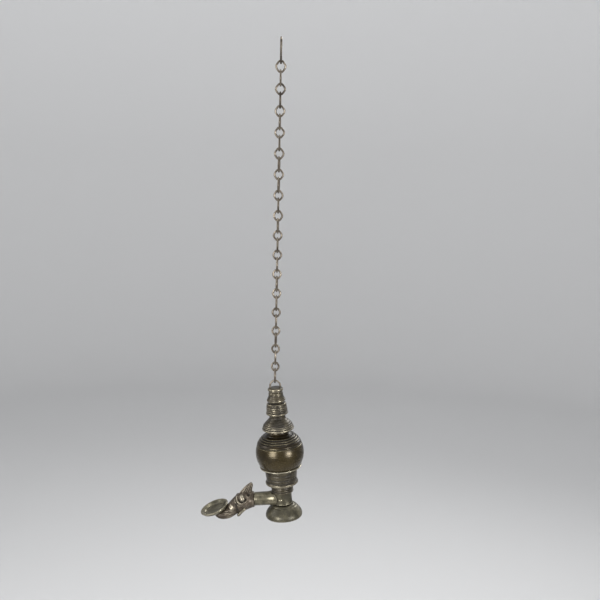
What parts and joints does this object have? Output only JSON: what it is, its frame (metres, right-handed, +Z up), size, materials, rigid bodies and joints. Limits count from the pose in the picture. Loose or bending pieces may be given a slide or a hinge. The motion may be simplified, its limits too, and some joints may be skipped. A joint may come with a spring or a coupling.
{
  "type": "hanging oil lamp",
  "caption": "Hanging bronze oil lamp: turned spire and round reservoir on a waisted stem, with a beast-head spout and wick dish, on a wire chain with a hook.",
  "frame": {"origin": "the point at the top of the crook, inside it, where the hook bears on what carries it", "axes": "+Z up, -X towards the spout and wick dish, +Y to the back; the lamp hangs at rest with its own axis leaning as its weight makes it"},
  "size_m": [0.1215, 0.057, 0.5637],
  "materials": {
    "dark_bronze": "dark oiled patina, worn bright on the edges",
    "smooth_bronze": "smooth oiled patina with a dull shine",
    "red_bronze": "reddish brown patina, rubbed",
    "green_bronze": "grey-green patina with grime",
    "chain_bronze": "tarnished wire, rubbed pale on the outsides",
    "leather": "oil-soaked"
  },
  "bodies": {
    "hanger": {"hanger_hook": "chain_bronze"},
    "link_01": {"link_01": "chain_bronze"},
    "link_02": {"link_02": "chain_bronze"},
    "link_03": {"link_03": "chain_bronze"},
    "link_04": {"link_04": "chain_bronze"},
    "link_05": {"link_05": "chain_bronze"},
    "link_06": {"link_06": "chain_bronze"},
    "link_07": {"link_07": "chain_bronze"},
    "link_08": {"link_08": "chain_bronze"},
    "link_09": {"link_09": "chain_bronze"},
    "link_10": {"link_10": "chain_bronze"},
    "link_11": {"link_11": "chain_bronze"},
    "link_12": {"link_12": "chain_bronze"},
    "link_13": {"link_13": "chain_bronze"},
    "link_14": {"link_14": "chain_bronze"},
    "link_15": {"link_15": "chain_bronze"},
    "link_16": {"link_16": "chain_bronze"},
    "link_17": {"link_17": "chain_bronze"},
    "link_18": {"link_18": "chain_bronze"},
    "link_19": {"link_19": "chain_bronze"},
    "link_20": {"link_20": "chain_bronze"},
    "link_21": {"link_21": "chain_bronze"},
    "link_22": {"link_22": "chain_bronze"},
    "link_23": {"link_23": "chain_bronze"},
    "link_24": {"link_24": "chain_bronze"},
    "link_25": {"link_25": "chain_bronze"},
    "link_26": {"link_26": "chain_bronze"},
    "link_27": {"link_27": "chain_bronze"},
    "link_28": {"link_28": "chain_bronze"},
    "link_29": {"link_29": "chain_bronze"},
    "link_30": {"link_30": "chain_bronze"},
    "link_31": {"link_31": "chain_bronze"},
    "link_32": {"link_32": "chain_bronze"},
    "upper_lamp": {"suspension_loop": "dark_bronze", "finial_cap": "dark_bronze", "spire_tier_upper": "dark_bronze", "spire_tier_middle": "dark_bronze", "spire_tier_lower": "dark_bronze", "spire_tie_rod": "dark_bronze", "reservoir_dome": "dark_bronze", "reservoir_bowl": "smooth_bronze", "reservoir_neck": "smooth_bronze"},
    "washer": {"leather_washer": "leather"},
    "base": {"ledge_ring": "dark_bronze", "socket_cup": "dark_bronze", "collar_ring": "dark_bronze", "stem": "dark_bronze", "foot": "green_bronze", "spout_pipe": "dark_bronze", "pipe_pin": "dark_bronze", "beast_head": "red_bronze", "wick_dish": "green_bronze"}
  },
  "joints": [
    {"name": "base_unscrew", "type": "hinge", "parent": "washer", "child": "base", "pos_m": [0.0141, 0, -0.55622], "axis": [0.0859, 0, -0.9963], "range_deg": [0, 1080]},
    {"name": "base_travel", "type": "slide", "parent": "upper_lamp", "child": "washer", "axis": [0.0859, 0, -0.9963], "range_m": [0, 0.0076]},
    {"name": "lamp_swing", "type": "hinge", "parent": "link_32", "child": "upper_lamp", "pos_m": [0, 0, -0.39267], "axis": [0, 1, 0], "range_deg": [-45, 45]},
    {"name": "link_01_swing", "type": "hinge", "parent": "hanger", "child": "link_01", "pos_m": [0, 0, -0.0268], "axis": [0, 1, 0], "range_deg": [-45, 45]},
    {"name": "link_02_swing", "type": "hinge", "parent": "link_01", "child": "link_02", "pos_m": [0, 0, -0.0369], "axis": [1, 0, 0], "range_deg": [-45, 45]},
    {"name": "link_03_swing", "type": "hinge", "parent": "link_02", "child": "link_03", "pos_m": [0, 0, -0.05177], "axis": [0.0123, -0.9999, 0], "range_deg": [-45, 45]},
    {"name": "link_04_swing", "type": "hinge", "parent": "link_03", "child": "link_04", "pos_m": [0, 0, -0.06143], "axis": [-0.9963, -0.0862, 0], "range_deg": [-45, 45]},
    {"name": "link_05_swing", "type": "hinge", "parent": "link_04", "child": "link_05", "pos_m": [0, 0, -0.07609], "axis": [-0.0567, 0.9984, 0], "range_deg": [-45, 45]},
    {"name": "link_06_swing", "type": "hinge", "parent": "link_05", "child": "link_06", "pos_m": [0, 0, -0.08574], "axis": [0.9969, -0.0789, 0], "range_deg": [-45, 45]},
    {"name": "link_07_swing", "type": "hinge", "parent": "link_06", "child": "link_07", "pos_m": [0, 0, -0.10016], "axis": [-0.0374, -0.9993, 0], "range_deg": [-45, 45]},
    {"name": "link_08_swing", "type": "hinge", "parent": "link_07", "child": "link_08", "pos_m": [0, 0, -0.10939], "axis": [-0.9978, 0.067, 0], "range_deg": [-45, 45]},
    {"name": "link_09_swing", "type": "hinge", "parent": "link_08", "child": "link_09", "pos_m": [0, 0, -0.12346], "axis": [-0.0146, 0.9999, 0], "range_deg": [-45, 45]},
    {"name": "link_10_swing", "type": "hinge", "parent": "link_09", "child": "link_10", "pos_m": [0, 0, -0.13319], "axis": [0.9962, -0.0866, 0], "range_deg": [-45, 45]},
    {"name": "link_11_swing", "type": "hinge", "parent": "link_10", "child": "link_11", "pos_m": [0, 0, -0.14732], "axis": [-0.0871, -0.9962, 0], "range_deg": [-45, 45]},
    {"name": "link_12_swing", "type": "hinge", "parent": "link_11", "child": "link_12", "pos_m": [0, 0, -0.15637], "axis": [-0.9987, -0.0506, 0], "range_deg": [-45, 45]},
    {"name": "link_13_swing", "type": "hinge", "parent": "link_12", "child": "link_13", "pos_m": [0, 0, -0.17102], "axis": [0.087, 0.9962, 0], "range_deg": [-45, 45]},
    {"name": "link_14_swing", "type": "hinge", "parent": "link_13", "child": "link_14", "pos_m": [0, 0, -0.1799], "axis": [0.9962, -0.0869, 0], "range_deg": [-45, 45]},
    {"name": "link_15_swing", "type": "hinge", "parent": "link_14", "child": "link_15", "pos_m": [0, 0, -0.19394], "axis": [0.0191, -0.9998, 0], "range_deg": [-45, 45]},
    {"name": "link_16_swing", "type": "hinge", "parent": "link_15", "child": "link_16", "pos_m": [0, 0, -0.20314], "axis": [-0.9975, 0.0708, 0], "range_deg": [-45, 45]},
    {"name": "link_17_swing", "type": "hinge", "parent": "link_16", "child": "link_17", "pos_m": [0, 0, -0.21701], "axis": [0.0442, 0.999, 0], "range_deg": [-45, 45]},
    {"name": "link_18_swing", "type": "hinge", "parent": "link_17", "child": "link_18", "pos_m": [0, 0, -0.22537], "axis": [0.9972, -0.0746, 0], "range_deg": [-45, 45]},
    {"name": "link_19_swing", "type": "hinge", "parent": "link_18", "child": "link_19", "pos_m": [0, 0, -0.23949], "axis": [0.0481, -0.9988, 0], "range_deg": [-45, 45]},
    {"name": "link_20_swing", "type": "hinge", "parent": "link_19", "child": "link_20", "pos_m": [0, 0, -0.24788], "axis": [-0.9965, -0.0836, 0], "range_deg": [-45, 45]},
    {"name": "link_21_swing", "type": "hinge", "parent": "link_20", "child": "link_21", "pos_m": [0, 0, -0.26206], "axis": [0.0015, 1, 0], "range_deg": [-45, 45]},
    {"name": "link_22_swing", "type": "hinge", "parent": "link_21", "child": "link_22", "pos_m": [0, 0, -0.27012], "axis": [0.9999, 0.0154, 0], "range_deg": [-45, 45]},
    {"name": "link_23_swing", "type": "hinge", "parent": "link_22", "child": "link_23", "pos_m": [0, 0, -0.28447], "axis": [-0.0629, -0.998, 0], "range_deg": [-45, 45]},
    {"name": "link_24_swing", "type": "hinge", "parent": "link_23", "child": "link_24", "pos_m": [0, 0, -0.29272], "axis": [-0.9998, -0.0184, 0], "range_deg": [-45, 45]},
    {"name": "link_25_swing", "type": "hinge", "parent": "link_24", "child": "link_25", "pos_m": [0, 0, -0.30701], "axis": [0.0077, 1, 0], "range_deg": [-45, 45]},
    {"name": "link_26_swing", "type": "hinge", "parent": "link_25", "child": "link_26", "pos_m": [0, 0, -0.31471], "axis": [0.9968, 0.0805, 0], "range_deg": [-45, 45]},
    {"name": "link_27_swing", "type": "hinge", "parent": "link_26", "child": "link_27", "pos_m": [0, 0, -0.32869], "axis": [0.0374, -0.9993, 0], "range_deg": [-45, 45]},
    {"name": "link_28_swing", "type": "hinge", "parent": "link_27", "child": "link_28", "pos_m": [0, 0, -0.33634], "axis": [-0.9979, 0.0655, 0], "range_deg": [-45, 45]},
    {"name": "link_29_swing", "type": "hinge", "parent": "link_28", "child": "link_29", "pos_m": [0, 0, -0.35025], "axis": [0.059, 0.9983, 0], "range_deg": [-45, 45]},
    {"name": "link_30_swing", "type": "hinge", "parent": "link_29", "child": "link_30", "pos_m": [0, 0, -0.35757], "axis": [0.9967, -0.0811, 0], "range_deg": [-45, 45]},
    {"name": "link_31_swing", "type": "hinge", "parent": "link_30", "child": "link_31", "pos_m": [0, 0, -0.37109], "axis": [0.0422, -0.9991, 0], "range_deg": [-45, 45]},
    {"name": "link_32_swing", "type": "hinge", "parent": "link_31", "child": "link_32", "pos_m": [0, 0, -0.37893], "axis": [-0.9964, 0.0846, 0], "range_deg": [-45, 45]}
  ],
  "couplings": [
    {"joint": "base_travel", "follows": "base_unscrew", "m_per_rad": 0.00039789}
  ]
}
